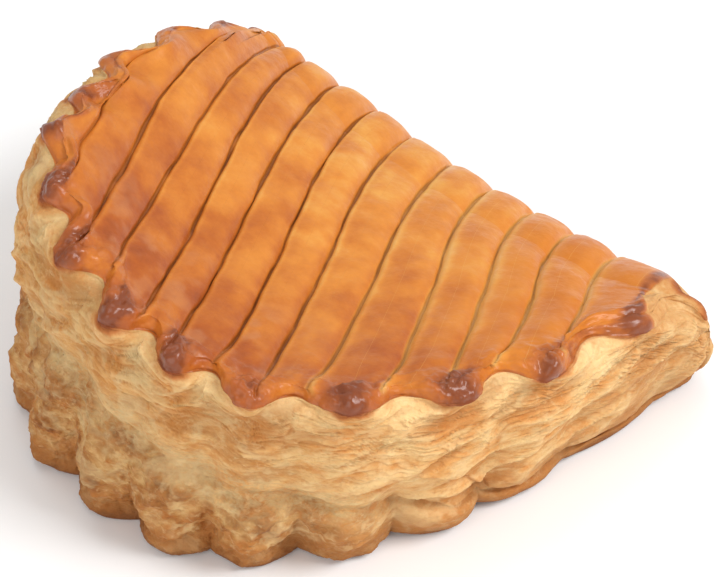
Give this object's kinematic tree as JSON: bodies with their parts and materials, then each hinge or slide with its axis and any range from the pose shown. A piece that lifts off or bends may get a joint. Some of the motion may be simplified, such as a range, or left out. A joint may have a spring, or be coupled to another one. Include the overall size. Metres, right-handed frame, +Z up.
{
  "type": "apple turnover",
  "caption": "Half-moon puff-pastry apple turnover with a straight fold, a scored sloping top and a tall fluted edge.",
  "frame": {"origin": "middle of the footprint, on the table", "axes": "+Z up; the straight fold lies along X at +Y and the rounded fluted edge faces -Y"},
  "size_m": [0.1298, 0.111, 0.0578],
  "materials": {
    "baked_crust": "golden-brown glazed puff pastry"
  },
  "bodies": {
    "root": {"turnover": "baked_crust"}
  },
  "joints": []
}
